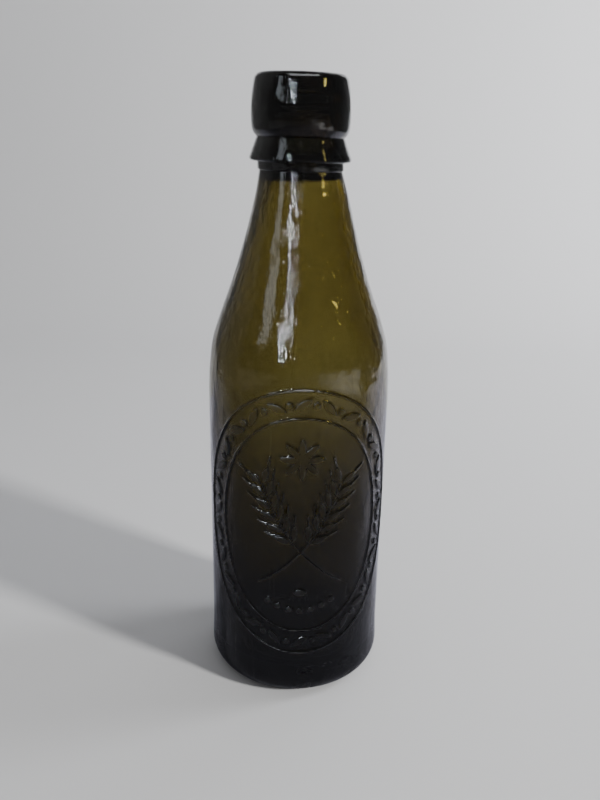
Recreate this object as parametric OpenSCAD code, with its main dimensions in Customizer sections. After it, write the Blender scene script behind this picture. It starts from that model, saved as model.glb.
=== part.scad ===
// Hand-finished beer bottle of thick dark glass, closed by a glass marble inside its finish.
// Origin at the middle of the base, on the surface it stands on. +Z runs up to the mouth.
// Millimetres. The front faces -Y.

/* [Body] */
// Overall height, from the surface it stands on to the rim
height = 248; // [236:1:262]
// Outer diameter of the straight body
body_d = 75; // [70:0.5:82]
// Radius of the rounded heel
heel_round = 8.7; // [5:0.1:11]
// Glass thickness of the shoulder and the neck
wall = 3.3; // [2.6:0.1:4]
// Glass thickness at the foot of the body, where it is heaviest
foot_wall = 5.4; // [4:0.1:7]

/* [Base] */
// Width of the flat ring that the bottle stands on
rest_w = 4.1; // [2:0.1:6]
// Height of the push-up inside that ring
kick_h = 7; // [4:0.5:11]
// Rounding between the push-up and the resting ring
kick_round = 2.5; // [1:0.1:3]
// Glass thickness between the push-up and the floor inside
floor_t = 7.5; // [5:0.1:10]
// Rounding between the floor and the wall inside
floor_round = 9; // [6:0.5:12]

/* [Shoulder and neck] */
// Height where the body starts to draw in
shoulder_z = 124; // [112:1:136]
// How far up the curve stays full before it turns in
shoulder_pull = 36; // [26:1:46]
// How far down the curve keeps the neck's slope
neck_pull = 62; // [50:1:70]
// Slope of the neck's side at its top, in degrees from upright
neck_lean = 12; // [9:0.5:15]
// Outer diameter of the neck at its top
neck_d = 31.6; // [29:0.1:35]

/* [Finish outside] */
// Height of the finish, from the neck's top to the rim
finish_h = 34; // [31:0.5:38]
// How far the small step ring at the foot of the finish stands out of the neck
step_proud = 0.6; // [0.2:0.1:1.5]
// Height of the step ring
step_h = 3.4; // [2:0.1:4.5]
// Diameter of the flared skirt at its lower edge
skirt_d = 38.6; // [35:0.1:43]
// Height of the skirt
skirt_h = 8.5; // [6.5:0.1:10]
// Rounding of the skirt's lower edge
skirt_round = 0.9; // [0.4:0.1:1.4]
// Largest diameter of the lip band
band_d = 37.2; // [34:0.1:41]
// Depth of the groove between skirt and band, in from the band's widest place
groove_depth = 2.1; // [1.2:0.1:3]
// Height of the band's widest place over the groove
band_rise = 8.6; // [7:0.1:11]
// Radius of the band's barrel curve
band_curve = 53; // [35:1:80]
// Rounding of the band's lower corner
band_low_round = 5; // [3:0.1:6]
// Rounding of the rim's outer corner
rim_round = 2.8; // [1.5:0.1:4]

/* [Closure] */
// Diameter of the glass marble
marble_d = 16.5; // [15:0.1:18]
// Play between the marble and the chamber, on each side
marble_play = 2; // [1:0.1:2.5]
// Gap kept between the marble and what stops it
marble_gap = 0.25; // [0.15:0.05:0.4]
// How far the mouth's bore is drawn in over the marble, on each side
mouth_hold = 0.55; // [0.3:0.05:1.5]
// Rounding of the mouth's inner edge
mouth_round = 1.4; // [0.6:0.1:2]
// How far the sealing ring reaches in over the marble, on each side
ring_hold = 2.05; // [1.6:0.05:2.6]
// Thickness of the sealing ring's round section
ring_t = 4.4; // [3.8:0.1:5]
// Depth from the rim to the middle of the sealing ring
ring_depth = 9.5; // [8:0.1:12]
// Gap between the sealing ring and its groove
ring_fit = 0.05; // [0.02:0.01:0.1]
// Thickness of the lip that holds the sealing ring from below
ring_lip_t = 1; // [0.6:0.1:2]
// Gap between the marble and that lip, on each side
ring_lip_gap = 0.65; // [0.3:0.05:1]
// How far the ledge reaches in under the marble, on each side
ledge_hold = 2.85; // [2.6:0.05:3.6]
// Thickness of the ledge at its hole
ledge_t = 3; // [2:0.1:4]
// How far the ledge's underside lies below the neck's top
ledge_drop = 2.7; // [1:0.1:5]
// Slope of the marble's seat on the ledge, in degrees from upright
seat_angle = 45; // [41:1:50]
// Rounding of the ledge's corners and of the chamber's
inner_round = 1.5; // [0.5:0.1:2]

/* [Hidden] */
$fn = 144;

// Steps of a small rounding, and of the long curve from body to neck
round_steps = 10;
curve_steps = 36;
// How far the mouth's cut runs past the rim
overcut = 1;
// Slope of the chamber's shoulder under the ring's lip
chamfer_angle = 45;

body_r = body_d / 2;
neck_r = neck_d / 2;
neck_top_z = height - finish_h;

// The push-up is a dome, and the floor over it a larger dome on the same centre
kick_edge_centre = [body_r - heel_round - rest_w, kick_round];
kick_dome_r = (pow(kick_edge_centre.x, 2) + kick_h * (kick_h - 2 * kick_round)) / (2 * kick_h);
kick_centre = [0, kick_h - kick_dome_r];
floor_dome_r = kick_dome_r + floor_t;
floor_edge_x = body_r - foot_wall - floor_round;
floor_edge_rise = sqrt(pow(floor_dome_r + floor_round, 2) - pow(floor_edge_x, 2));
floor_edge_centre = kick_centre + [floor_edge_x, floor_edge_rise];

// Heights in the finish, upwards
step_r = neck_r + step_proud;
skirt_z = neck_top_z + step_h;
groove = [band_d / 2 - groove_depth, skirt_z + skirt_h];
band_z = groove.y + band_rise;

// The barrel's centre lies across the axis, and both of the band's corners touch it inside
barrel_centre = [band_d / 2 - band_curve, band_z];
band_low_centre = meet(barrel_centre, band_curve - band_low_round, groove, band_low_round);
rim_rise = height - rim_round - band_z;
rim_centre = barrel_centre + [sqrt(pow(band_curve - rim_round, 2) - pow(rim_rise, 2)), rim_rise];
skirt_edge_centre = [skirt_d / 2 - skirt_round, skirt_z + skirt_round];

// The closure's radii all follow the marble's
marble_r = marble_d / 2;
mouth_r = marble_r - mouth_hold;
chamber_r = marble_r + marble_play;
ring_lip_r = marble_r + ring_lip_gap;
ring_mid_r = marble_r - ring_hold + ring_t / 2;
ledge_hole_r = marble_r - ledge_hold;

// Heights in the closure
ring_z = height - ring_depth;
ring_lip_z = ring_z - ring_t / 2 - ring_lip_t;
ledge_z = neck_top_z - ledge_drop;
seat_z = ledge_z + ledge_t;
seat_top_z = seat_z + (chamber_r - ledge_hole_r) / tan(seat_angle);
chamber_top_z = ring_lip_z - (chamber_r - ring_lip_r) / tan(chamfer_angle);
ledge_corner_z = ledge_z - inner_round;

// The marble at rest on its seat, and how far it rises to the sealing ring
marble_z = seat_z + (marble_r + marble_gap - ledge_hole_r * cos(seat_angle)) / sin(seat_angle);
ring_reach = marble_r + marble_gap + ring_t / 2;
marble_travel = ring_z - sqrt(pow(ring_reach, 2) - pow(ring_mid_r, 2)) - marble_z;
echo(marble_travel = marble_travel);

// Points of an arc, with its angles in degrees from +X
function arc(centre, r, from, to, steps = round_steps) = [
    for (i = [0:steps])
        let (a = from + (to - from) * i / steps) centre + r * [cos(a), sin(a)]
];

// Where two circles cross, on the left of the line from the first centre to the second
function meet(c1, r1, c2, r2) =
    let (
        d = c2 - c1,
        u = d / norm(d),
        along = (r1 * r1 - r2 * r2 + d * d) / (2 * norm(d)),
        aside = sqrt(r1 * r1 - along * along)
    )
    c1 + along * u + aside * [-u.y, u.x];

// Angle at which a line from point p touches a circle on its outer side
function touch_angle(p, centre, r) =
    let (d = centre - p) atan2(d.y, d.x) + acos(-r / norm(d));

// Direction from point a to point b
function bearing(a, b) = atan2(b.y - a.y, b.x - a.x);

// Cubic curve from the body to the neck's top
shoulder_curve = [
    [body_r, shoulder_z],
    [body_r, shoulder_z + shoulder_pull],
    [neck_r, neck_top_z] + neck_pull * [sin(neck_lean), -cos(neck_lean)],
    [neck_r, neck_top_z]
];

function curve_point(c, t) =
    pow(1 - t, 3) * c[0] + 3 * t * pow(1 - t, 2) * c[1] + 3 * t * t * (1 - t) * c[2] + pow(t, 3) * c[3];

function curve_direction(c, t) =
    pow(1 - t, 2) * (c[1] - c[0]) + 2 * t * (1 - t) * (c[2] - c[1]) + t * t * (c[3] - c[2]);

// The same curve, moved inwards by the wall's thickness
function inner_curve_point(t) =
    let (d = curve_direction(shoulder_curve, t))
    curve_point(shoulder_curve, t) + wall * [-d.y, d.x] / norm(d);

// Radius inside the neck near its top, where its wall is all but straight
function neck_bore_r(z) = neck_r + (neck_top_z - z) * tan(neck_lean) - wall / cos(neck_lean);

// From the middle of the push-up, round the heel and up the side to the neck's top
body_outline =
    let (kick_edge = bearing(kick_centre, kick_edge_centre))
    concat(
        arc(kick_centre, kick_dome_r, 90, kick_edge, curve_steps / 2),
        arc(kick_edge_centre, kick_round, kick_edge + 180, 270),
        arc([body_r - heel_round, heel_round], heel_round, -90, 0),
        [for (i = [0:curve_steps]) curve_point(shoulder_curve, i / curve_steps)]
    );

// From the neck's top to the rim: step ring, skirt, groove and band
finish_outline =
    let (
        band_low = bearing(barrel_centre, band_low_centre),
        band_top = bearing(barrel_centre, rim_centre)
    )
    concat(
        arc([neck_r, neck_top_z + step_proud], step_proud, -90, 0),
        [[step_r, skirt_z]],
        arc(skirt_edge_centre, skirt_round, -90, touch_angle(groove, skirt_edge_centre, skirt_round)),
        arc(band_low_centre, band_low_round, bearing(band_low_centre, groove), band_low),
        arc(barrel_centre, band_curve, band_low, band_top),
        arc(rim_centre, rim_round, band_top, 90)
    );

// Inside of the body, from the middle of the floor up to the ledge
hollow_outline =
    let (floor_edge = bearing(kick_centre, floor_edge_centre))
    concat(
        arc(kick_centre, floor_dome_r, 90, floor_edge, curve_steps / 2),
        arc(floor_edge_centre, floor_round, floor_edge - 180,
            touch_angle([body_r - wall, shoulder_z], floor_edge_centre, floor_round)),
        [
            for (i = [0:curve_steps])
                let (p = inner_curve_point(i / curve_steps))
                if (p.y < ledge_corner_z) p
        ],
        arc([neck_bore_r(ledge_corner_z) - inner_round / cos(neck_lean), ledge_corner_z],
            inner_round, neck_lean, 90)
    );

// Way through the finish: ledge hole, marble's seat, chamber, ring's lip and mouth
closure_outline = concat(
    arc([ledge_hole_r + inner_round, ledge_z + inner_round], inner_round, 270, 180),
    [[ledge_hole_r, seat_z]],
    arc([chamber_r - inner_round, seat_top_z + inner_round * tan(seat_angle / 2)],
        inner_round, -seat_angle, 0),
    arc([chamber_r - inner_round, chamber_top_z - inner_round * tan(chamfer_angle / 2)],
        inner_round, 0, chamfer_angle),
    [
        [ring_lip_r, ring_lip_z],
        [ring_lip_r, ring_z],
        [mouth_r, ring_z]
    ],
    arc([mouth_r + mouth_round, height - mouth_round], mouth_round, 180, 90),
    [[mouth_r + mouth_round, height + overcut]]
);

module revolve(outline) {
    rotate_extrude() polygon(outline);
}

module round_ring(section_d) {
    rotate_extrude()
        translate([ring_mid_r, ring_z])
            circle(d = section_d);
}

// One-piece bottle, with its walls, pushed-up base, ledge, chamber and ring groove
module bottle_glass() {
    color([0.22, 0.19, 0.06])
        difference() {
            revolve(concat(body_outline, finish_outline, [[0, height]]));
            revolve(concat(hollow_outline, closure_outline, [[0, height + overcut]]));
            round_ring(ring_t + 2 * ring_fit);
        }
}

// Rubber ring that the marble is pressed against
module seal_ring() {
    color([0.1, 0.08, 0.07])
        round_ring(ring_t);
}

// Marble, resting on the ledge
module marble() {
    color([0.3, 0.45, 0.35])
        translate([0, 0, marble_z])
            sphere(d = marble_d);
}

bottle_glass();
seal_ring();
marble();
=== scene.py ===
import math

import bmesh
import bpy
import numpy as np
from mathutils import Matrix, Quaternion, Vector


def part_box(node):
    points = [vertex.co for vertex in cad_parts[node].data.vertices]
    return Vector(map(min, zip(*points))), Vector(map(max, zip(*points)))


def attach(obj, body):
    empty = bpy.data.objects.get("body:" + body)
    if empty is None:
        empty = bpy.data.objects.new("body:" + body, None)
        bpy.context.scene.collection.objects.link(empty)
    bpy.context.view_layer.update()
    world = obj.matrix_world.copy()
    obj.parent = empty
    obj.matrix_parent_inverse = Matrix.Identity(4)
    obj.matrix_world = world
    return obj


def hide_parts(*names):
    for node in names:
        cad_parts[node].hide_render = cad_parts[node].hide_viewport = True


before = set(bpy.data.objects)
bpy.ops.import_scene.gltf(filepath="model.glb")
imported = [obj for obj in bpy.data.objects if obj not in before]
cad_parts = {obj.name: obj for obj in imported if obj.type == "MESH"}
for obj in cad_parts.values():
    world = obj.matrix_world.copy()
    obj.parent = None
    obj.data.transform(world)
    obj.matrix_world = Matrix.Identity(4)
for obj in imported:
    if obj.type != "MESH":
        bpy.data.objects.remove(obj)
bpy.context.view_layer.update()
mm = 0.001


def addObject(name, data):
    made = bpy.data.objects.new(name, data)
    bpy.context.scene.collection.objects.link(made)
    return made


# The photograph's camera, found from both edges of the bottle's outline
photoCamera = {
    "focalPixels": 775.0,
    "pictureHeight": 800,
    "pictureMiddleX": 300.0,
    "bottleAxisX": 298.2,
    "pitch": 19.81,
    "roll": 1.03,
    "distance": 305.5 * mm,
    "height": 231.4 * mm,
    "sensorWidth": 36.0,
    "nearClip": 0.01,
}


def placeCamera(values):
    data = bpy.data.cameras.new("photoCamera")
    data.sensor_width = values["sensorWidth"]
    data.lens = values["focalPixels"] / values["pictureHeight"] * data.sensor_width
    data.clip_start = values["nearClip"]
    camera = addObject("photoCamera", data)
    yaw = math.atan2(values["pictureMiddleX"] - values["bottleAxisX"], values["focalPixels"])
    turn = Matrix.Rotation(-yaw, 4, "Z")
    tilt = Matrix.Rotation(math.radians(90 - values["pitch"]), 4, "X")
    lean = Matrix.Rotation(math.radians(values["roll"]), 4, "Z")
    place = Matrix.Translation((0, -values["distance"], values["height"]))
    camera.matrix_world = place @ turn @ tilt @ lean
    bpy.context.scene.camera = camera


placeCamera(photoCamera)


# Helpers for node trees. A feed is a link where it is a socket, and else a plain value
def feed(tree, node, feeds):
    for key, value in feeds.items():
        if isinstance(value, bpy.types.NodeSocket):
            tree.links.new(value, node.inputs[key])
        else:
            node.inputs[key].default_value = value


def addNode(tree, kind, fields=None, feeds=None):
    node = tree.nodes.new(kind)
    for field, value in (fields or {}).items():
        setattr(node, field, value)
    feed(tree, node, feeds or {})
    return node


def calc(tree, operation, *values):
    node = addNode(tree, "ShaderNodeMath", {"operation": operation}, dict(enumerate(values)))
    return node.outputs[0]


def product(tree, first, *others):
    for other in others:
        first = calc(tree, "MULTIPLY", first, other)
    return first


def mapRange(tree, value, low, high, toLow=0.0, toHigh=1.0, smooth=False):
    fields = {"interpolation_type": "SMOOTHSTEP" if smooth else "LINEAR"}
    feeds = {"Value": value, "From Min": low, "From Max": high, "To Min": toLow, "To Max": toHigh}
    return addNode(tree, "ShaderNodeMapRange", fields, feeds).outputs[0]


def fade(tree, value, ends, toLow=0.0, toHigh=1.0):
    return mapRange(tree, value, ends[0], ends[1], toLow, toHigh, smooth=True)


def splitAxes(tree, vector):
    return addNode(tree, "ShaderNodeSeparateXYZ", {}, {0: vector}).outputs


def joinAxes(tree, x=0.0, y=0.0, z=0.0):
    return addNode(tree, "ShaderNodeCombineXYZ", {}, {0: x, 1: y, 2: z}).outputs[0]


def vectorMath(tree, operation, first, second=(0, 0, 0)):
    node = addNode(tree, "ShaderNodeVectorMath", {"operation": operation}, {0: first, 1: second})
    return node.outputs[0]


def noise(tree, vector, scale, detail, roughness=0.5, distortion=0.0):
    feeds = {"Vector": vector, "Scale": scale, "Detail": detail, "Roughness": roughness,
             "Distortion": distortion}
    return addNode(tree, "ShaderNodeTexNoise", {}, feeds).outputs[0]


def mixColour(tree, factor, first, second):
    node = addNode(tree, "ShaderNodeMix", {"data_type": "RGBA"}, {"Factor": factor})
    ends = [socket for socket in node.inputs if socket.type == "RGBA"]
    for end, colour in zip(ends, (first, second)):
        if isinstance(colour, bpy.types.NodeSocket):
            tree.links.new(colour, end)
        else:
            end.default_value = (*colour, 1)
    return [socket for socket in node.outputs if socket.type == "RGBA"][0]


def newMaterial(name):
    material = bpy.data.materials.new(name)
    material.use_nodes = True
    return material, material.node_tree.nodes["Principled BSDF"]


def objectPlace(tree):
    return addNode(tree, "ShaderNodeTexCoord").outputs["Object"]


# Pale seamless sweep under and behind the bottle
sweep = {
    "front": -1.6,
    "bendStart": 0.50,
    "bendRadius": 0.45,
    "top": 2.2,
    "halfWidth": 2.6,
    "bendSteps": 24,
    "colour": (0.66, 0.665, 0.68, 1),
    "roughness": 0.75,
    "specular": 0.2,
}


def makeSweep(values):
    steps = values["bendSteps"]
    radius = values["bendRadius"]
    side = [(values["front"], 0.0)]
    for i in range(steps + 1):
        a = math.pi / 2 * i / steps
        side.append((values["bendStart"] + radius * math.sin(a), radius * (1 - math.cos(a))))
    side.append((values["bendStart"] + radius, values["top"]))
    verts = []
    for x in (-values["halfWidth"], values["halfWidth"]):
        verts += [(x, y, z) for y, z in side]
    count = len(side)
    faces = [(i, count + i, count + i + 1, i + 1) for i in range(count - 1)]
    mesh = bpy.data.meshes.new("sweep")
    mesh.from_pydata(verts, [], faces)
    mesh.shade_smooth()
    paper, shader = newMaterial("palePaper")
    feed(paper.node_tree, shader, {
        "Base Color": values["colour"],
        "Roughness": values["roughness"],
        "Specular IOR Level": values["specular"],
    })
    mesh.materials.append(paper)
    addObject("sweep", mesh)


makeSweep(sweep)


# Soft room light, a window on the right that casts the shadow and a wash on the paper behind.
# The other five are seen only as gleams on the glass and light nothing
studio = {
    "room": (0.93, 0.925, 0.93),
    "roomStrength": 0.33,
    "reflectedRoom": 0.55,
    "middle": (0, 0, 0.12),
    "lights": [
        dict(name="window", azimuth=60, elevation=24, distance=1.5, size=(0.14, 0.2), power=27.0,
             colour=(1.0, 0.985, 0.95), gleams=False),
        dict(name="backWash", azimuth=105, elevation=30, distance=1.25, size=(0.6, 0.6), power=15.0,
             aim=(0.6, 0.95, 0.3), colour=(0.97, 0.98, 1.0), gleams=False),
        dict(name="ceiling", azimuth=12, elevation=66, distance=1.3, size=(1.1, 0.7), power=12.0,
             colour=(0.95, 0.97, 1.0), gleams=True),
        dict(name="leftGleam", azimuth=-22, elevation=22, distance=1.1, size=(0.022, 0.48), power=2.6,
             lean=14, colour=(0.82, 0.9, 1.0), gleams=True),
        dict(name="leftEdge", azimuth=-11, elevation=21, distance=1.1, size=(0.011, 0.44), power=0.8,
             lean=4, colour=(0.82, 0.9, 1.0), gleams=True),
        dict(name="leftSheen", azimuth=-50, elevation=28, distance=1.2, size=(0.3, 0.5), power=1.1,
             colour=(0.85, 0.92, 1.0), gleams=True),
        dict(name="rightGlint", azimuth=62, elevation=30, distance=1.2, size=(0.03, 0.3), power=0.8,
             colour=(1.0, 0.8, 0.2), gleams=True),
    ],
}


def lightTheRoom(values):
    world = bpy.data.worlds.new("room")
    world.use_nodes = True
    tree = world.node_tree
    # The room is dim where the glass reflects it, as behind the photographer
    glossy = addNode(tree, "ShaderNodeLightPath").outputs["Is Glossy Ray"]
    full = values["roomStrength"]
    strength = mapRange(tree, glossy, 0.0, 1.0, full, full * values["reflectedRoom"])
    feed(tree, tree.nodes["Background"], {"Color": (*values["room"], 1), "Strength": strength})
    bpy.context.scene.world = world


def placeLight(one, middle):
    data = bpy.data.lights.new(one["name"], "AREA")
    data.shape = "RECTANGLE"
    data.size, data.size_y = one["size"]
    data.energy = one["power"]
    data.color = one["colour"]
    lamp = addObject(one["name"], data)
    azimuth = math.radians(one["azimuth"])
    elevation = math.radians(one["elevation"])
    level = math.cos(elevation)
    away = Vector((math.sin(azimuth) * level, -math.cos(azimuth) * level, math.sin(elevation)))
    lamp.location = middle + away * one["distance"]
    back = lamp.location - Vector(one.get("aim", middle))
    lean = Quaternion((0, 0, 1), math.radians(one.get("lean", 0)))
    lamp.rotation_euler = (back.to_track_quat("Z", "Y") @ lean).to_euler()
    lamp.visible_camera = False
    lamp.visible_transmission = False
    lamp.visible_glossy = one["gleams"]
    lamp.visible_diffuse = not one["gleams"]


lightTheRoom(studio)
for lightValues in studio["lights"]:
    placeLight(lightValues, Vector(studio["middle"]))


# Cards that only reflections see: one on the floor, dark in front and paler behind, and one
# on each side behind the bottle, as dark as the real room was there
floorCard = {
    "front": -1.4,
    "back": 0.30,
    "halfWidth": 0.6,
    "height": 0.001,
    "frontShade": 0.21,
    "backShade": 0.62,
    "fade": (-0.06, 0.14),
    "blueness": 1.18,
    "roughness": 0.9,
}
sideCards = {
    "aside": 0.62,
    "front": -0.12,
    "back": 1.0,
    "top": 2.0,
    "shade": 0.2,
    "roughness": 0.9,
}


def layCard(name, corners, material):
    mesh = bpy.data.meshes.new(name)
    mesh.from_pydata(corners, [], [(0, 1, 2, 3)])
    mesh.materials.append(material)
    card = addObject(name, mesh)
    card.visible_camera = False
    card.visible_diffuse = False
    card.visible_transmission = False
    card.visible_shadow = False


def layFloorCard(values):
    material, shader = newMaterial("floorCard")
    tree = material.node_tree
    parts = splitAxes(tree, objectPlace(tree))
    shade = fade(tree, parts[1], values["fade"], values["frontShade"], values["backShade"])
    blue = product(tree, shade, values["blueness"])
    cool = addNode(tree, "ShaderNodeCombineColor", {}, {0: shade, 1: shade, 2: blue})
    feed(tree, shader, {"Base Color": cool.outputs[0], "Roughness": values["roughness"]})
    x = values["halfWidth"]
    z = values["height"]
    front = values["front"]
    back = values["back"]
    layCard("floorCard", [(-x, front, z), (x, front, z), (x, back, z), (-x, back, z)], material)


def laySideCards(values):
    material, shader = newMaterial("sideCard")
    shade = values["shade"]
    feed(material.node_tree, shader, {
        "Base Color": (shade, shade, shade, 1),
        "Roughness": values["roughness"],
    })
    front = values["front"]
    back = values["back"]
    top = values["top"]
    for x in (-values["aside"], values["aside"]):
        layCard("sideCard", [(x, front, 0), (x, back, 0), (x, back, top), (x, front, top)], material)


layFloorCard(floorCard)
laySideCards(sideCards)
print("camera, sweep and lights placed")


# Sizes of the glass in millimetres, as in the construction. The height is the frame's
glass = {
    "height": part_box("bottle_glass")[1].z / mm,
    "bodyRadius": 37.5,
    "heelRound": 8.7,
    "wall": 3.3,
    "footWall": 5.4,
    "restWidth": 4.1,
    "kickHeight": 7.0,
    "kickRound": 2.5,
    "floorThick": 7.5,
    "floorRound": 9.0,
    "shoulderZ": 124.0,
    "shoulderPull": 36.0,
    "neckPull": 62.0,
    "neckLean": 12.0,
    "neckRadius": 15.8,
    "finishHeight": 34.0,
    "stepProud": 0.6,
    "stepHeight": 3.4,
    "skirtRadius": 19.3,
    "skirtHeight": 8.5,
    "skirtRound": 0.9,
    "bandRadius": 18.6,
    "grooveDepth": 2.1,
    "bandRise": 8.6,
    "bandCurve": 53.0,
    "bandLowRound": 5.0,
    "rimRound": 2.8,
    "marbleRadius": 8.25,
    "marblePlay": 2.0,
    "mouthHold": 0.55,
    "mouthRound": 1.4,
    "ringHold": 2.05,
    "ringThick": 4.4,
    "ringDepth": 9.5,
    "ringFit": 0.05,
    "ringLipThick": 1.0,
    "ringLipGap": 0.65,
    "ledgeHold": 2.85,
    "ledgeThick": 3.0,
    "ledgeDrop": 2.7,
    "innerRound": 1.5,
    # How far apart the rows of the mesh are, and where the raised ornament needs fine ones
    "heelRow": 2.4,
    "shoulderRow": 2.0,
    "insideRow": 6.0,
    "neckMargin": 1.0,
    "cornerMargin": 5.0,
    "fineFrom": 21.0,
    "fineTo": 141.0,
    "fineRow": 0.5,
    "fineHalfAngle": 73.0,
    "fineColumns": 190,
    "otherColumns": 44,
    "curveSamples": 401,
    # What is welded or dropped as too small, and from which angle on an edge is sharp
    "weld": 0.001,
    "sliver": 0.0001,
    "sharpAngle": 50,
}
glass["neckTop"] = glass["height"] - glass["finishHeight"]


# The last number of each arc is how many steps it has
def arc(centre, radius, start, stop, steps):
    angles = np.radians(np.linspace(start, stop, steps + 1))
    return [(centre[0] + radius * math.cos(a), centre[1] + radius * math.sin(a)) for a in angles]


def bearing(start, end):
    return math.degrees(math.atan2(end[1] - start[1], end[0] - start[0]))


def circlesMeet(centre1, radius1, centre2, radius2):
    dx = centre2[0] - centre1[0]
    dy = centre2[1] - centre1[1]
    gap = math.hypot(dx, dy)
    along = (radius1 * radius1 - radius2 * radius2 + gap * gap) / (2 * gap)
    aside = math.sqrt(radius1 * radius1 - along * along)
    ux = dx / gap
    uy = dy / gap
    return (centre1[0] + along * ux - aside * uy, centre1[1] + along * uy + aside * ux)


def touchAngle(point, centre, radius):
    dx = centre[0] - point[0]
    dy = centre[1] - point[1]
    return math.degrees(math.atan2(dy, dx) + math.acos(-radius / math.hypot(dx, dy)))


def onCurve(curve, heights):
    return [(float(np.interp(z, curve[:, 1], curve[:, 0])), float(z)) for z in heights]


def shoulderCurve():
    # The cubic from body to neck, and the same curve moved inwards by the wall
    lean = math.radians(glass["neckLean"])
    pull = glass["neckPull"]
    p0, p1, p2, p3 = np.array([
        (glass["bodyRadius"], glass["shoulderZ"]),
        (glass["bodyRadius"], glass["shoulderZ"] + glass["shoulderPull"]),
        (glass["neckRadius"] + pull * math.sin(lean), glass["neckTop"] - pull * math.cos(lean)),
        (glass["neckRadius"], glass["neckTop"]),
    ])
    t = np.linspace(0, 1, glass["curveSamples"])[:, None]
    points = (1 - t) ** 3 * p0 + 3 * t * (1 - t) ** 2 * p1 + 3 * t * t * (1 - t) * p2 + t ** 3 * p3
    along = (1 - t) ** 2 * (p1 - p0) + 2 * t * (1 - t) * (p2 - p1) + t * t * (p3 - p2)
    along = along / np.linalg.norm(along, axis=1)[:, None]
    inner = points + glass["wall"] * np.stack([-along[:, 1], along[:, 0]], axis=1)
    return points, inner


def pushUp():
    # The dome under the bottle, and the middle of the rounding between it and the resting ring
    edge = (glass["bodyRadius"] - glass["heelRound"] - glass["restWidth"], glass["kickRound"])
    lift = glass["kickHeight"] * (glass["kickHeight"] - 2 * glass["kickRound"])
    radius = (edge[0] ** 2 + lift) / (2 * glass["kickHeight"])
    centre = (0.0, glass["kickHeight"] - radius)
    return centre, radius, edge


def outsideOfBody(shoulder):
    # From under the push-up round the heel and up to the neck
    heel = glass["heelRound"]
    domeCentre, domeRadius, edge = pushUp()
    edgeAngle = bearing(domeCentre, edge)
    line = arc(domeCentre, domeRadius, 90, edgeAngle, 10)
    line += arc(edge, glass["kickRound"], edgeAngle + 180, 270, 6)
    line += arc((glass["bodyRadius"] - heel, heel), heel, -90, 0, 14)
    heights = list(np.arange(heel + glass["heelRow"], glass["fineFrom"], glass["heelRow"]))
    heights += list(np.arange(glass["fineFrom"], glass["fineTo"], glass["fineRow"]))
    upTo = glass["neckTop"] - glass["neckMargin"]
    heights += list(np.arange(glass["fineTo"], upTo, glass["shoulderRow"]))
    return line + onCurve(shoulder, heights)


def outsideOfFinish():
    # Step ring, flared skirt, groove and lip band, up to the rim
    neckTop = glass["neckTop"]
    proud = glass["stepProud"]
    skirtRound = glass["skirtRound"]
    skirtZ = neckTop + glass["stepHeight"]
    groove = (glass["bandRadius"] - glass["grooveDepth"], skirtZ + glass["skirtHeight"])
    bandZ = groove[1] + glass["bandRise"]
    barrel = (glass["bandRadius"] - glass["bandCurve"], bandZ)
    lowRound = glass["bandLowRound"]
    lowCentre = circlesMeet(barrel, glass["bandCurve"] - lowRound, groove, lowRound)
    rimRise = glass["height"] - glass["rimRound"] - bandZ
    rimReach = math.sqrt((glass["bandCurve"] - glass["rimRound"]) ** 2 - rimRise ** 2)
    rimCentre = (barrel[0] + rimReach, barrel[1] + rimRise)
    skirtEdge = (glass["skirtRadius"] - skirtRound, skirtZ + skirtRound)
    bandLow = bearing(barrel, lowCentre)
    bandTop = bearing(barrel, rimCentre)
    line = arc((glass["neckRadius"], neckTop + proud), proud, -90, 0, 4)
    line += [(glass["neckRadius"] + proud, skirtZ)]
    line += arc(skirtEdge, skirtRound, -90, touchAngle(groove, skirtEdge, skirtRound), 7)
    line += arc(lowCentre, lowRound, bearing(lowCentre, groove), bandLow, 7)
    line += arc(barrel, glass["bandCurve"], bandLow, bandTop, 12)
    return line + arc(rimCentre, glass["rimRound"], bandTop, 90, 7)


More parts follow.
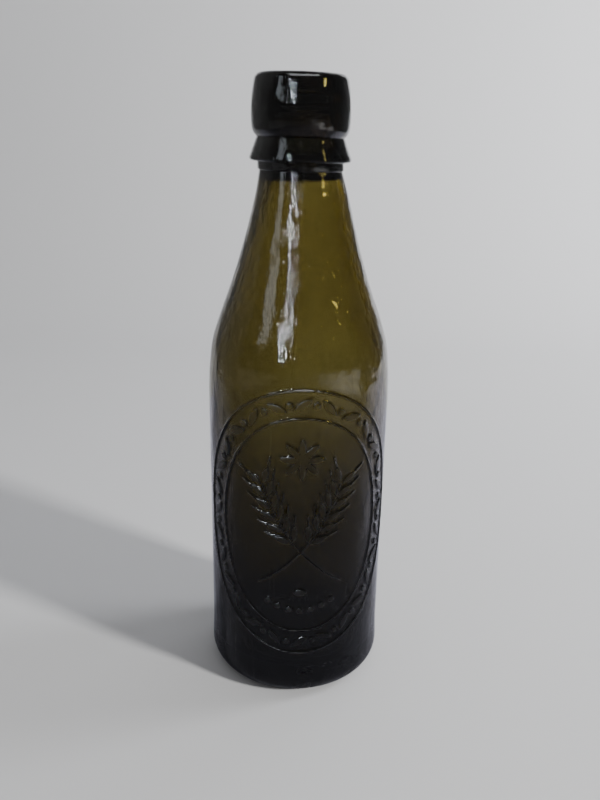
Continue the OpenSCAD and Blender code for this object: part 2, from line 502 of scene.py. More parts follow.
def insideOfFinish():
    # Mouth, ring groove, marble chamber and ledge, down to the corner over the hollow
    marble = glass["marbleRadius"]
    mouth = marble - glass["mouthHold"]
    mouthRound = glass["mouthRound"]
    chamber = marble + glass["marblePlay"]
    ringLip = marble + glass["ringLipGap"]
    ringMiddle = marble - glass["ringHold"] + glass["ringThick"] / 2
    ledgeHole = marble - glass["ledgeHold"]
    ringZ = glass["height"] - glass["ringDepth"]
    ringLipZ = ringZ - glass["ringThick"] / 2 - glass["ringLipThick"]
    ledgeZ = glass["neckTop"] - glass["ledgeDrop"]
    seatZ = ledgeZ + glass["ledgeThick"]
    seatTopZ = seatZ + chamber - ledgeHole
    chamberTopZ = ringLipZ - (chamber - ringLip)
    soft = glass["innerRound"]
    # Both cones of the chamber lean by 45 degrees, so their roundings reach by half of that
    softReach = soft * math.tan(math.radians(22.5))
    grooveRadius = glass["ringThick"] / 2 + glass["ringFit"]
    mouthAngle = math.degrees(math.acos((mouth - ringMiddle) / grooveRadius))
    lipAngle = math.degrees(math.acos((ringLip - ringMiddle) / grooveRadius))
    line = arc((mouth + mouthRound, glass["height"] - mouthRound), mouthRound, 90, 180, 5)
    line += arc((ringMiddle, ringZ), grooveRadius, mouthAngle, -lipAngle, 9)
    line += [(ringLip, ringLipZ)]
    line += arc((chamber - soft, chamberTopZ - softReach), soft, 45, 0, 2)
    line += arc((chamber - soft, seatTopZ + softReach), soft, 0, -45, 2)
    line += [(ledgeHole, seatZ)]
    line += arc((ledgeHole + soft, ledgeZ + soft), soft, 180, 270, 3)
    lean = math.radians(glass["neckLean"])
    cornerZ = ledgeZ - soft
    drop = glass["neckTop"] - cornerZ
    bore = glass["neckRadius"] + drop * math.tan(lean) - glass["wall"] / math.cos(lean)
    line += arc((bore - soft / math.cos(lean), cornerZ), soft, 90, glass["neckLean"], 3)
    return line, cornerZ


def insideOfBody(shoulderInside, cornerZ):
    # Down the hollow to the middle of its floor
    top = cornerZ - glass["cornerMargin"]
    line = onCurve(shoulderInside, np.arange(top, glass["shoulderZ"], -glass["insideRow"]))
    domeCentre, domeRadius = pushUp()[:2]
    floorRound = glass["floorRound"]
    floorDome = domeRadius + glass["floorThick"]
    floorEdgeX = glass["bodyRadius"] - glass["footWall"] - floorRound
    floorEdgeRise = math.sqrt((floorDome + floorRound) ** 2 - floorEdgeX ** 2)
    floorEdge = (floorEdgeX, domeCentre[1] + floorEdgeRise)
    wallTop = (glass["bodyRadius"] - glass["wall"], glass["shoulderZ"])
    wallAngle = touchAngle(wallTop, floorEdge, floorRound)
    floorAngle = bearing(domeCentre, floorEdge)
    foot = arc(floorEdge, floorRound, wallAngle, floorAngle - 180, 7)
    for share in (0.0, 0.25, 0.5, 0.75):
        line += [tuple(wallTop[k] + share * (foot[0][k] - wallTop[k]) for k in (0, 1))]
    line += foot
    return line + arc(domeCentre, floorDome, floorAngle, 90, 6)[1:]


def outlineObject():
    # A chain of points, each marked 1 outside and 0 inside, for the lathe to read
    shoulder, shoulderInside = shoulderCurve()
    outside = outsideOfBody(shoulder) + outsideOfFinish()
    inside, cornerZ = insideOfFinish()
    inside += insideOfBody(shoulderInside, cornerZ)
    points = outside + inside
    mesh = bpy.data.meshes.new("glassOutline")
    links = [(i, i + 1) for i in range(len(points) - 1)]
    mesh.from_pydata([(radius * mm, 0, z * mm) for radius, z in points], links, [])
    mark = mesh.attributes.new("outside", "FLOAT", "POINT")
    mark.data.foreach_set("value", [1.0] * len(outside) + [0.0] * len(inside))
    return addObject("glassOutline", mesh)


outline = outlineObject()
outlineRows = len(outline.data.vertices)
print("outline has", outlineRows, "points")


socketKinds = {int: "NodeSocketInt", float: "NodeSocketFloat", tuple: "NodeSocketVector"}


def newTree(name, values, objects=()):
    tree = bpy.data.node_groups.new(name, "GeometryNodeTree")
    tree.interface.new_socket("Geometry", in_out="OUTPUT", socket_type="NodeSocketGeometry")
    for label in objects:
        tree.interface.new_socket(label, in_out="INPUT", socket_type="NodeSocketObject")
    for label, value in values.items():
        kind = socketKinds[type(value)]
        tree.interface.new_socket(label, in_out="INPUT", socket_type=kind).default_value = value
    return tree, tree.nodes.new("NodeGroupInput").outputs


def endTree(tree, geometry):
    result = tree.nodes.new("NodeGroupOutput")
    tree.links.new(geometry, result.inputs[0])


def madeByTree(name, tree, values):
    # Sets the named inputs by identifier, evaluates once and hands back a plain mesh
    holder = addObject("holder", bpy.data.meshes.new("holder"))
    modifier = holder.modifiers.new(tree.name, "NODES")
    modifier.node_group = tree
    for item in tree.interface.items_tree:
        if item.in_out == "INPUT" and item.name in values:
            modifier[item.identifier] = values[item.name]
    holder.update_tag()
    bpy.context.view_layer.update()
    graph = bpy.context.evaluated_depsgraph_get()
    mesh = bpy.data.meshes.new_from_object(holder.evaluated_get(graph))
    mesh.name = name
    holder.modifiers.clear()
    bpy.data.objects.remove(holder)
    return mesh


# Raised front ornament, drawn flat in millimetres: an oval of leaves and beads, crossed barley,
# a rosette and a garland of beads. Places are vectors, and Grain Lean is in radians
ornament = {
    "Half Width": 45.7,
    "Half Height": 57.5,
    "Band": 10.8,
    "Motifs": 28,
    "Leaf Length": 7.6,
    "Leaf Width": 2.5,
    "Leaf Tilt": 34.0,
    "Bead": 1.1,
    "Stem Foot": (-17.0, -25.0, 0.0),
    "Stem Bend": (5.0, -11.0, 0.0),
    "Stem Tip": (15.5, 18.0, 0.0),
    "Ear Start": 0.5,
    "Grains": 6,
    "Grain Length": 6.8,
    "Grain Width": 2.2,
    "Grain Aside": 4.6,
    "Grain Lean": 0.62,
    "Whisker Start": (8.6, 0.0, 0.0),
    "Whisker End": (12.5, 0.0, 0.0),
    "Rosette": 7.6,
    "Rosette Place": (0.0, 30.0, 0.0),
    "Petals": 8,
    "Petal Ring": 0.62,
    "Petal Width": 0.31,
    "Garland Left": (-13.0, -33.0, 0.0),
    "Garland Low": (0.0, -41.0, 0.0),
    "Garland Right": (13.0, -33.0, 0.0),
    "Garland Beads": 7,
    "Lozenge Length": 5.0,
    "Lozenge Width": 2.6,
    "Lozenge Place": (0.0, -28.5, 0.0),
}
ornamentSteps = {"border": 160, "lens": 20, "bead": 12, "stem": 40, "garland": 20}
# Lines lie at height 0 and filled shapes at fillLevel, so that the lathe feels each by itself
fillLevel = 1.0


def placed(tree, geometry, shift=(0, 0, 0), x=1.0, y=1.0):
    feeds = {"Geometry": geometry, "Translation": shift, "Scale": joinAxes(tree, x, y, 1.0)}
    return addNode(tree, "GeometryNodeTransform", {}, feeds).outputs[0]


def filled(tree, curve):
    flat = addNode(tree, "GeometryNodeFillCurve", {}, {"Curve": curve}).outputs[0]
    return placed(tree, flat, (0, 0, fillLevel))


def circle(tree, steps, radius=1.0):
    feeds = {"Resolution": steps, "Radius": radius}
    return addNode(tree, "GeometryNodeCurvePrimitiveCircle", {}, feeds).outputs["Curve"]


def bentLine(tree, steps, start, middle, end):
    feeds = {"Resolution": steps, "Start": start, "Middle": middle, "End": end}
    return addNode(tree, "GeometryNodeCurveQuadraticBezier", {}, feeds).outputs[0]


def lens(tree, length, width):
    # A filled lens shape along X, from a circle whose height is squared
    parts = splitAxes(tree, addNode(tree, "GeometryNodeInputPosition").outputs[0])
    high = calc(tree, "MULTIPLY", parts[1], calc(tree, "ABSOLUTE", parts[1]))
    x = calc(tree, "MULTIPLY", parts[0], calc(tree, "MULTIPLY", length, 0.5))
    y = calc(tree, "MULTIPLY", high, calc(tree, "MULTIPLY", width, 0.5))
    feeds = {"Geometry": circle(tree, ornamentSteps["lens"]), "Position": joinAxes(tree, x, y)}
    return filled(tree, addNode(tree, "GeometryNodeSetPosition", {}, feeds).outputs[0])


def disc(tree, radius):
    return filled(tree, circle(tree, ornamentSteps["bead"], radius))


def tangentAngle(tree):
    parts = splitAxes(tree, addNode(tree, "GeometryNodeInputTangent").outputs[0])
    return calc(tree, "ARCTAN2", parts[1], parts[0])


def resampled(tree, curve, count):
    return addNode(tree, "GeometryNodeResampleCurve", {}, {"Curve": curve, "Count": count}).outputs[0]


def sprinkle(tree, points, motif, angle, selection=True):
    feeds = {"Points": points, "Instance": motif, "Rotation": joinAxes(tree, z=angle),
             "Selection": selection}
    return addNode(tree, "GeometryNodeInstanceOnPoints", {}, feeds).outputs[0]


def edgesOf(tree, curve):
    return addNode(tree, "GeometryNodeCurveToMesh", {}, {"Curve": curve}).outputs[0]


def joined(tree, pieces):
    node = addNode(tree, "GeometryNodeJoinGeometry")
    for piece in pieces:
        tree.links.new(piece, node.inputs[0])
    return node.outputs[0]


def borderPieces(tree, given, bead):
    # Two oval borders, and the line between them that the leaves and beads follow
    ring = circle(tree, ornamentSteps["border"])
    innerW = calc(tree, "SUBTRACT", given["Half Width"], given["Band"])
    innerH = calc(tree, "SUBTRACT", given["Half Height"], given["Band"])
    half = calc(tree, "MULTIPLY", given["Band"], 0.5)
    middle = placed(tree, ring, x=calc(tree, "ADD", innerW, half), y=calc(tree, "ADD", innerH, half))
    beaded = resampled(tree, middle, calc(tree, "MULTIPLY", given["Motifs"], 2))
    index = addNode(tree, "GeometryNodeInputIndex").outputs[0]
    isBead = calc(tree, "MODULO", index, 2)
    isLeaf = calc(tree, "SUBTRACT", 1.0, isBead)
    # Every second place holds a leaf, and the leaves lean to either side in turn
    turnBy = calc(tree, "MULTIPLY", calc(tree, "SUBTRACT", calc(tree, "MODULO", index, 4), 1.0),
                  calc(tree, "RADIANS", given["Leaf Tilt"]))
    along = tangentAngle(tree)
    leaf = lens(tree, given["Leaf Length"], given["Leaf Width"])
    return [
        edgesOf(tree, placed(tree, ring, x=given["Half Width"], y=given["Half Height"])),
        edgesOf(tree, placed(tree, ring, x=innerW, y=innerH)),
        sprinkle(tree, beaded, leaf, calc(tree, "ADD", along, turnBy), isLeaf),
        sprinkle(tree, beaded, bead, along, isBead),
    ]


def barleyPieces(tree, given):
    # One barley ear on its bent stem, and its mirror image across it
    stem = bentLine(tree, ornamentSteps["stem"], given["Stem Foot"], given["Stem Bend"],
                    given["Stem Tip"])
    ear = addNode(tree, "GeometryNodeTrimCurve", {}, {"Curve": stem, 2: given["Ear Start"], 3: 1.0})
    grained = resampled(tree, ear.outputs[0], given["Grains"])
    grain = lens(tree, given["Grain Length"], given["Grain Width"])
    grain = placed(tree, grain, joinAxes(tree, given["Grain Aside"]))
    feeds = {"Start": given["Whisker Start"], "End": given["Whisker End"]}
    whisker = edgesOf(tree, addNode(tree, "GeometryNodeCurvePrimitiveLine", {}, feeds).outputs[0])
    barley = [edgesOf(tree, stem)]
    for side in (-1.0, 1.0):
        lean = calc(tree, "MULTIPLY", given["Grain Lean"], side)
        leaning = calc(tree, "ADD", tangentAngle(tree), lean)
        barley += [sprinkle(tree, grained, motif, leaning) for motif in (grain, whisker)]
    sheaf = joined(tree, barley)
    return [sheaf, placed(tree, sheaf, x=-1.0)]


def middlePieces(tree, given, bead):
    # Rosette above, and a row of beads and a lozenge below
    wreath = circle(tree, given["Petals"], calc(tree, "MULTIPLY", given["Rosette"], given["Petal Ring"]))
    petal = lens(tree, given["Rosette"], calc(tree, "MULTIPLY", given["Rosette"], given["Petal Width"]))
    parts = splitAxes(tree, addNode(tree, "GeometryNodeInputPosition").outputs[0])
    outward = calc(tree, "ARCTAN2", parts[1], parts[0])
    rosette = joined(tree, [sprinkle(tree, wreath, petal, outward), bead])
    garland = bentLine(tree, ornamentSteps["garland"], given["Garland Left"], given["Garland Low"],
                       given["Garland Right"])
    strung = resampled(tree, garland, given["Garland Beads"])
    lozenge = lens(tree, given["Lozenge Length"], given["Lozenge Width"])
    return [
        placed(tree, rosette, given["Rosette Place"]),
        sprinkle(tree, strung, bead, 0.0),
        placed(tree, lozenge, given["Lozenge Place"]),
    ]


def ornamentTree():
    tree, given = newTree("frontOrnament", ornament)
    bead = disc(tree, given["Bead"])
    pieces = borderPieces(tree, given, bead)
    pieces += barleyPieces(tree, given)
    pieces += middlePieces(tree, given, bead)
    real = addNode(tree, "GeometryNodeRealizeInstances", {}, {"Geometry": joined(tree, pieces)})
    scaled = placed(tree, real.outputs[0], x=mm, y=mm)
    painted = addNode(tree, "GeometryNodeSetMaterial", {}, {"Geometry": scaled})
    endTree(tree, painted.outputs[0])
    return tree


drawing = addObject("ornamentDrawing", madeByTree("ornamentDrawing", ornamentTree(), ornament))
print("ornament drawn with", len(drawing.data.vertices), "points")


# The glass: the outline turned on a lathe, then relief, waves and the crooked lip. What has
# From and Full, or Fade and End, comes in or goes out between those heights
glassForm = {
    "Relief Height": 0.68 * mm,
    "Line Edge": 0.82 * mm,
    "Leaf Edge": 0.65 * mm,
    "Relief Inset": 0.42 * mm,
    "Relief From": 8 * mm,
    "Relief Full": 20 * mm,
    "Relief Fade": 138 * mm,
    "Relief End": 150 * mm,
    "Unrolled Radius": 37.2 * mm,
    "Ornament Turn": 3.0,
    "Ornament Middle": 80.5 * mm,
    "Wave Height": 0.34 * mm,
    "Wave Scale": 62.0,
    "Wave Detail": 1.5,
    "Wave Stretch": 0.42,
    "Wave From": 1 * mm,
    "Wave Full": 9 * mm,
    "Inner Wave Height": 1.3 * mm,
    "Inner Wave Scale": 34.0,
    "Inner Wave Detail": 1.0,
    "Inner Wave Place": (0.37, 0.11, 0.23),
    "Inner Wave From": 24 * mm,
    "Inner Wave Full": 34 * mm,
    "Inner Wave Fade": 196 * mm,
    "Inner Wave End": 206 * mm,
    "Lip Shift": -0.8 * mm,
    "Lip Tilt": 0.8,
    "Lip From": 204 * mm,
    "Lip Full": 219 * mm,
}


def sampled(tree, kind, profile, value, index):
    feeds = {"Geometry": profile, "Value": value, "Index": index}
    node = addNode(tree, "GeometryNodeSampleIndex", {"data_type": kind, "domain": "POINT"}, feeds)
    return node.outputs[0]


def storeMark(tree, geometry, name, value):
    feeds = {"Geometry": geometry, "Name": name, "Value": value}
    fields = {"data_type": "FLOAT", "domain": "POINT"}
    return addNode(tree, "GeometryNodeStoreNamedAttribute", fields, feeds).outputs[0]


def readMark(tree, name):
    node = addNode(tree, "GeometryNodeInputNamedAttribute", {"data_type": "FLOAT"}, {"Name": name})
    return node.outputs[0]


def turnedShell(tree, given, rows, place, turn):
    # Each row of the grid takes its radius and height from one point of the outline
    columns = glass["fineColumns"] + glass["otherColumns"]
    split = glass["fineColumns"] / columns
    half = math.radians(glass["fineHalfAngle"])
    profile = addNode(tree, "GeometryNodeObjectInfo", {}, {"Object": given["Outline"]}).outputs["Geometry"]
    grid = addNode(tree, "GeometryNodeMeshGrid", {},
                   {"Size X": 1.0, "Size Y": 1.0, "Vertices X": columns + 1, "Vertices Y": rows})
    spot = splitAxes(tree, place)
    row = calc(tree, "ROUND", calc(tree, "MULTIPLY", calc(tree, "ADD", spot[1], 0.5), rows - 1.0))
    column = calc(tree, "ADD", spot[0], 0.5)
    angle = calc(tree, "ADD", mapRange(tree, column, 0.0, split, -half, half),
                 mapRange(tree, column, split, 1.0, 0.0, 2 * math.pi - 2 * half))
    angle = calc(tree, "ADD", angle, turn)
    side = sampled(tree, "FLOAT", profile, readMark(tree, "outside"), row)
    marked = storeMark(tree, grid.outputs[0], "outside", side)
    polar = splitAxes(tree, sampled(tree, "FLOAT_VECTOR", profile, place, row))
    x = product(tree, polar[0], calc(tree, "SINE", angle))
    y = product(tree, polar[0], calc(tree, "COSINE", angle), -1.0)
    shell = addNode(tree, "GeometryNodeSetPosition", {},
                    {"Geometry": marked, "Position": joinAxes(tree, x, y, polar[2])})
    closed = addNode(tree, "GeometryNodeMergeByDistance", {},
                     {"Geometry": shell.outputs[0], "Distance": glass["weld"] * mm})
    return closed.outputs[0]


def nearnessToDrawing(tree, given, here, turn):
    # How near each point, unrolled flat, lies to the lines and filled shapes of the drawing
    around = calc(tree, "ARCTAN2", here[0], calc(tree, "MULTIPLY", here[1], -1.0))
    flatX = product(tree, calc(tree, "SUBTRACT", around, turn), given["Unrolled Radius"])
    flatY = calc(tree, "SUBTRACT", here[2], given["Ornament Middle"])
    art = addNode(tree, "GeometryNodeObjectInfo", {}, {"Object": given["Drawing"]}).outputs["Geometry"]
    heights = []
    kinds = (("EDGES", 0.0, given["Line Edge"]), ("FACES", fillLevel, given["Leaf Edge"]))
    for target, level, edge in kinds:
        near = addNode(tree, "GeometryNodeProximity", {"target_element": target})
        tree.links.new(art, near.inputs[0])
        spotInput = [socket for socket in near.inputs if socket.type == "VECTOR"][0]
        tree.links.new(joinAxes(tree, flatX, flatY, level), spotInput)
        heights.append(fade(tree, near.outputs["Distance"], (0.0, edge), 1.0, 0.0))
    return calc(tree, "MAXIMUM", heights[0], heights[1])


def between(tree, given, label, z):
    # 1 between the label's Full and Fade heights, and 0 below its From and above its End
    rising = fade(tree, z, (given[label + " From"], given[label + " Full"]))
    falling = fade(tree, z, (given[label + " Fade"], given[label + " End"]), 1.0, 0.0)
    return product(tree, rising, falling)


def wavePush(tree, given, place, z, outside, relief):
    # Waves of hand-blown glass, drawn out along the axis, other ones inside than outside
    stretch = vectorMath(tree, "MULTIPLY", place, joinAxes(tree, 1.0, 1.0, given["Wave Stretch"]))
    wave = noise(tree, stretch, given["Wave Scale"], given["Wave Detail"])
    offBase = fade(tree, z, (given["Wave From"], given["Wave Full"]))
    wave = product(tree, calc(tree, "SUBTRACT", wave, 0.5), given["Wave Height"], offBase)
    elsewhere = vectorMath(tree, "ADD", stretch, given["Inner Wave Place"])
    innerWave = noise(tree, elsewhere, given["Inner Wave Scale"], given["Inner Wave Detail"])
    innerWave = product(tree, calc(tree, "SUBTRACT", innerWave, 0.5), given["Inner Wave Height"],
                        between(tree, given, "Inner Wave", z))
    outward = product(tree, calc(tree, "ADD", relief, wave), outside)
    inward = product(tree, innerWave, calc(tree, "SUBTRACT", 1.0, outside))
    level = vectorMath(tree, "MULTIPLY", place, (1.0, 1.0, 0.0))
    feeds = {0: vectorMath(tree, "NORMALIZE", level), "Scale": calc(tree, "ADD", outward, inward)}
    return addNode(tree, "ShaderNodeVectorMath", {"operation": "SCALE"}, feeds).outputs[0]


def crookedLip(tree, given, here, outside):
    # The lip was put on by hand, a little to one side and out of level
    lip = product(tree, outside, fade(tree, here[2], (given["Lip From"], given["Lip Full"])))
    reach = calc(tree, "ADD", here[0], glass["skirtRadius"] * mm)
    slope = calc(tree, "TANGENT", calc(tree, "RADIANS", given["Lip Tilt"]))
    return joinAxes(tree, product(tree, lip, given["Lip Shift"]), 0.0,
                    product(tree, reach, slope, lip, -1.0))


def latheTree(rows, material):
    tree, given = newTree("turnedGlass", glassForm, ("Outline", "Drawing"))
    place = addNode(tree, "GeometryNodeInputPosition").outputs[0]
    turn = calc(tree, "RADIANS", given["Ornament Turn"])
    shell = turnedShell(tree, given, rows, place, turn)
    here = splitAxes(tree, place)
    outside = readMark(tree, "outside")
    raised = nearnessToDrawing(tree, given, here, turn)
    onBody = between(tree, given, "Relief", here[2])
    relief = product(tree, raised, given["Relief Height"])
    relief = product(tree, calc(tree, "SUBTRACT", relief, given["Relief Inset"]), onBody)
    push = wavePush(tree, given, place, here[2], outside, relief)
    offset = vectorMath(tree, "ADD", push, crookedLip(tree, given, here, outside))
    noted = storeMark(tree, shell, "relief", product(tree, raised, onBody, outside))
    formed = addNode(tree, "GeometryNodeSetPosition", {}, {"Geometry": noted, "Offset": offset})
    smooth = addNode(tree, "GeometryNodeSetShadeSmooth", {}, {0: formed.outputs[0]})
    real = addNode(tree, "GeometryNodeRealizeInstances", {}, {"Geometry": smooth.outputs[0]})
    painted = addNode(tree, "GeometryNodeSetMaterial", {},
                      {"Geometry": real.outputs[0], "Material": material})
    endTree(tree, painted.outputs[0])
    return tree


# Surface wear shared by the materials: fine scratches and a patchy haze, as masks from 0 to 1
wearLook = {
    "scratchTurns": ((0.3, 0.5, 0.2), (-0.7, 0.2, 1.1)),
    "scratchStretch": 0.06,
    "scratchDetail": 2.0,
    "scratchEdge": (0.66, 0.72),
    "hazeDetail": 6.0,
    "hazeRoughness": 0.62,
    "hazeEdge": (0.42, 0.66),
}


def wearGroup(values):
    tree = bpy.data.node_groups.new("handledSurface", "ShaderNodeTree")
    tree.interface.new_socket("Vector", in_out="INPUT", socket_type="NodeSocketVector")
    for label in ("Scratch Scale", "Haze Scale"):
        tree.interface.new_socket(label, in_out="INPUT", socket_type="NodeSocketFloat")
    for label in ("Scratches", "Haze"):
        tree.interface.new_socket(label, in_out="OUTPUT", socket_type="NodeSocketFloat")
    given = tree.nodes.new("NodeGroupInput").outputs
    strokes = []
    for turn in values["scratchTurns"]:
        feeds = {0: given["Vector"], "Rotation": turn, "Scale": (1.0, 1.0, values["scratchStretch"])}
        turned = addNode(tree, "ShaderNodeMapping", {}, feeds).outputs[0]
        streaks = noise(tree, turned, given["Scratch Scale"], values["scratchDetail"])
        strokes.append(mapRange(tree, streaks, *values["scratchEdge"]))
    haze = noise(tree, given["Vector"], given["Haze Scale"], values["hazeDetail"],
                 values["hazeRoughness"])
    feed(tree, tree.nodes.new("NodeGroupOutput"), {
        "Scratches": calc(tree, "MAXIMUM", strokes[0], strokes[1]),
        "Haze": fade(tree, haze, values["hazeEdge"]),
    })
    return tree


handled = wearGroup(wearLook)


def wearMasks(tree, place, values):
    feeds = {"Vector": place, "Scratch Scale": values["scratchScale"], "Haze Scale": values["hazeScale"]}
    masks = addNode(tree, "ShaderNodeGroup", {"node_tree": handled}, feeds).outputs
    return masks["Scratches"], masks["Haze"]


def bumped(tree, height, strength=1.0, distance=1.0):
    feeds = {"Height": height, "Strength": strength, "Distance": distance}
    return addNode(tree, "ShaderNodeBump", {}, feeds).outputs[0]


def absorbLight(tree, values):
    feeds = {"Color": values["absorption"], "Density": values["density"]}
    inside = addNode(tree, "ShaderNodeVolumeAbsorption", {}, feeds)
    tree.links.new(inside.outputs[0], tree.nodes["Material Output"].inputs["Volume"])


darkGlass = {
    "ior": 1.5,
    "absorption": (0.555, 0.503, 0.12, 1),
    "density": 750.0,
    # Painted shade: a grey that darkens the colour towards the foot
    "footShade": (0.43, 0.435, 0.44),
    "footFade": (177 * mm, 42 * mm),
    # Painted shade: near black on the slopes of the raised ornament
    "slopeShadeColour": (0.02, 0.02, 0.02),
    "slopeFade": (0.15, 0.9),
    "slopeShade": 0.85,
    "roughness": 0.018,
    "wornRoughness": 0.4,
    "scratchScale": 420.0,
    "scratchShare": 0.5,
    "scratchDepth": 0.04 * mm,
    "hazeScale": 55.0,
    "bodyHaze": 0.03,
    "heelHaze": 1.0,
    "heelFade": (16 * mm, 3 * mm),
    "lipHaze": 0.16,
    "lipFade": (212 * mm, 217 * mm),
    "crestShare": 0.9,
    "crestFade": (0.55, 0.95),
    "grainScale": 1300,
    "grainDetail": 1.0,
    "grainHeight": 0.004 * mm,
    "dustFrom": (0.1, 0.7),
    "dustTo": (0.25, 1.0),
    "rippleScale": 150,
    "rippleDetail": 3.4,
    "rippleDistortion": 0.3,
    "rippleStretch": 0.55,
    "rippleHeight": 0.5 * mm,
    "seedScale": 330.0,
    "seedRadius": 0.16,
    "seedDepth": 0.10 * mm,
}


def bottleGlassMaterial(values):
    material, shader = newMaterial("darkOliveGlass")
    tree = material.node_tree
    place = objectPlace(tree)
    z = splitAxes(tree, place)[2]

    # Painted shade: the colour grows darker towards the foot, beyond what the heavier glass there absorbs
    foot = fade(tree, z, values["footFade"])
    tint = mixColour(tree, foot, (1, 1, 1), values["footShade"])

    # Slopes of the raised ornament bend the light away and look dark, so that shade is painted into their
    # colour. Halfway up a slope the product is a quarter, so 4 brings it to 1
    relief = addNode(tree, "ShaderNodeAttribute", {"attribute_name": "relief"}).outputs["Fac"]
    slope = product(tree, relief, calc(tree, "SUBTRACT", 1.0, relief), 4.0)
    slope = fade(tree, slope, values["slopeFade"], 0.0, values["slopeShade"])
    tint = mixColour(tree, slope, tint, values["slopeShadeColour"])

    # Scuffs are rougher, most of all round the heel, and so are the crests of the ornament
    scratches, haze = wearMasks(tree, place, values)
    heel = fade(tree, z, values["heelFade"], values["bodyHaze"], values["heelHaze"])
    lip = fade(tree, z, values["lipFade"], 0.0, values["lipHaze"])
    scuffed = product(tree, haze, calc(tree, "MAXIMUM", heel, lip))
    scuffed = calc(tree, "MAXIMUM", scuffed, product(tree, scratches, values["scratchShare"]))
    crest = product(tree, fade(tree, relief, values["crestFade"]), values["crestShare"])
    scuffed = calc(tree, "MAXIMUM", scuffed, crest)
    rough = mapRange(tree, scuffed, 0.0, 1.0, values["roughness"], values["wornRoughness"])

    # Small ripples drawn out along the axis, and seeds: tiny bubbles near the surface
    stretch = addNode(tree, "ShaderNodeMapping", {},
                      {0: place, "Scale": (1.0, 1.0, values["rippleStretch"])}).outputs[0]
    ripple = noise(tree, stretch, values["rippleScale"], values["rippleDetail"],
                   distortion=values["rippleDistortion"])
    seeds = addNode(tree, "ShaderNodeTexVoronoi", {}, {"Vector": stretch, "Scale": values["seedScale"]})
    pit = fade(tree, seeds.outputs["Distance"], (0.0, values["seedRadius"]), 1.0, 0.0)
    grain = noise(tree, place, values["grainScale"], values["grainDetail"])
    dusty = mapRange(tree, haze, *values["dustFrom"], *values["dustTo"])
    high = product(tree, ripple, values["rippleHeight"])
    high = calc(tree, "SUBTRACT", high, product(tree, scratches, values["scratchDepth"]))
    high = calc(tree, "ADD", high, product(tree, grain, dusty, values["grainHeight"]))
    high = calc(tree, "SUBTRACT", high, product(tree, pit, values["seedDepth"]))

    feed(tree, shader, {
        "Base Color": tint,
        "Roughness": rough,
        "Normal": bumped(tree, high),
        "Transmission Weight": 1.0,
        "Metallic": 0.0,
        "IOR": values["ior"],
    })
    absorbLight(tree, values)
    return material


def closeMesh(mesh):
    # Drops what the poles left without area, and turns every face outwards
    work = bmesh.new()
    work.from_mesh(mesh)
    bmesh.ops.dissolve_degenerate(work, dist=glass["sliver"] * mm, edges=work.edges)
    bmesh.ops.recalc_face_normals(work, faces=work.faces)
    openEdges = [edge for edge in work.edges if not edge.is_manifold]
    work.to_mesh(mesh)
    volume = work.calc_volume(signed=True)
    work.free()
    print(mesh.name, "faces", len(mesh.polygons), "open edges", len(openEdges), "volume ml",
          round(volume * 1e6, 2))


lathe = latheTree(outlineRows, bottleGlassMaterial(darkGlass))
glassMesh = madeByTree("blownBottle", lathe, dict(glassForm, Outline=outline, Drawing=drawing))
for leftOver in (outline, drawing):
    bpy.data.objects.remove(leftOver)
closeMesh(glassMesh)
glassMesh.set_sharp_from_angle(angle=math.radians(glass["sharpAngle"]))
blownBottle = addObject("blown_bottle", glassMesh)
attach(blownBottle, "bottle")
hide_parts("bottle_glass")
print("glass made")


# Rubber of the sealing ring: near black, dulled, with a bloom and fine cracks
oldRubber = {
    "colour": (0.022, 0.017, 0.014),
    "bloom": (0.075, 0.062, 0.052),
    "roughness": 0.62,
    "bloomRoughness": 0.85,
    "scratchScale": 700.0,
    "hazeScale": 260.0,
    "crackScale": 900.0,
    "crackEdge": 0.08,
    "crackDepth": 0.1 * mm,
    "crackStrength": 0.5,
}


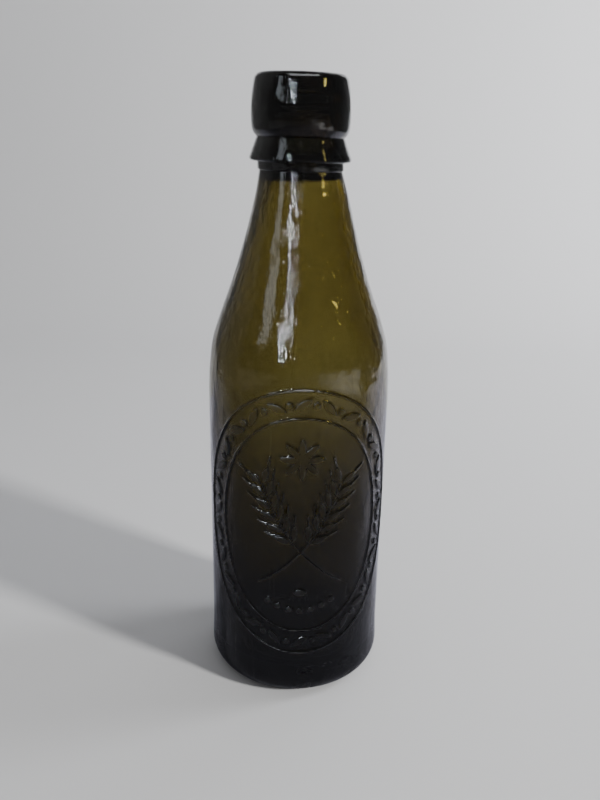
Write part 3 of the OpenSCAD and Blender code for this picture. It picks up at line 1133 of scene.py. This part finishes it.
def rubberMaterial(values):
    material, shader = newMaterial("agedRubber")
    tree = material.node_tree
    place = objectPlace(tree)
    haze = wearMasks(tree, place, values)[1]
    cracks = addNode(tree, "ShaderNodeTexVoronoi", {"feature": "DISTANCE_TO_EDGE"},
                     {"Vector": place, "Scale": values["crackScale"]})
    dip = mapRange(tree, cracks.outputs[0], 0.0, values["crackEdge"])
    feed(tree, shader, {
        "Base Color": mixColour(tree, haze, values["colour"], values["bloom"]),
        "Roughness": mapRange(tree, haze, 0.0, 1.0, values["roughness"], values["bloomRoughness"]),
        "Normal": bumped(tree, dip, values["crackStrength"], values["crackDepth"]),
    })
    return material


# The marble: pale sea-green glass with a few bubbles and dull scuffs
seaGlass = {
    "ior": 1.51,
    "absorption": (0.62, 0.86, 0.76, 1),
    "density": 90.0,
    "clear": (0.93, 1.0, 0.97),
    "dull": (0.74, 0.86, 0.80),
    "roughness": 0.03,
    "scuffRoughness": 0.28,
    "scratchScale": 500.0,
    "scratchShare": 0.7,
    "hazeScale": 190.0,
    "hazeShare": 0.6,
    "bubbleScale": 420.0,
    "bubbleRadius": 0.14,
    "bubbleDepth": 0.1 * mm,
    "bubbleStrength": 0.35,
}


def marbleMaterial(values):
    material, shader = newMaterial("marbleGlass")
    tree = material.node_tree
    place = objectPlace(tree)
    scratches, haze = wearMasks(tree, place, values)
    haze = product(tree, haze, values["hazeShare"])
    scuffed = calc(tree, "MAXIMUM", haze, product(tree, scratches, values["scratchShare"]))
    bubbles = addNode(tree, "ShaderNodeTexVoronoi", {}, {"Vector": place, "Scale": values["bubbleScale"]})
    pit = fade(tree, bubbles.outputs["Distance"], (0.0, values["bubbleRadius"]))
    feed(tree, shader, {
        "Base Color": mixColour(tree, haze, values["clear"], values["dull"]),
        "Roughness": mapRange(tree, scuffed, 0.0, 1.0, values["roughness"], values["scuffRoughness"]),
        "Normal": bumped(tree, pit, values["bubbleStrength"], values["bubbleDepth"]),
        "Transmission Weight": 1.0,
        "IOR": values["ior"],
    })
    absorbLight(tree, values)
    return material


def dressNode(name, material):
    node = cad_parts[name]
    node.data.materials.clear()
    node.data.materials.append(material)


dressNode("seal_ring", rubberMaterial(oldRubber))
dressNode("marble", marbleMaterial(seaGlass))
print("ring and marble dressed")
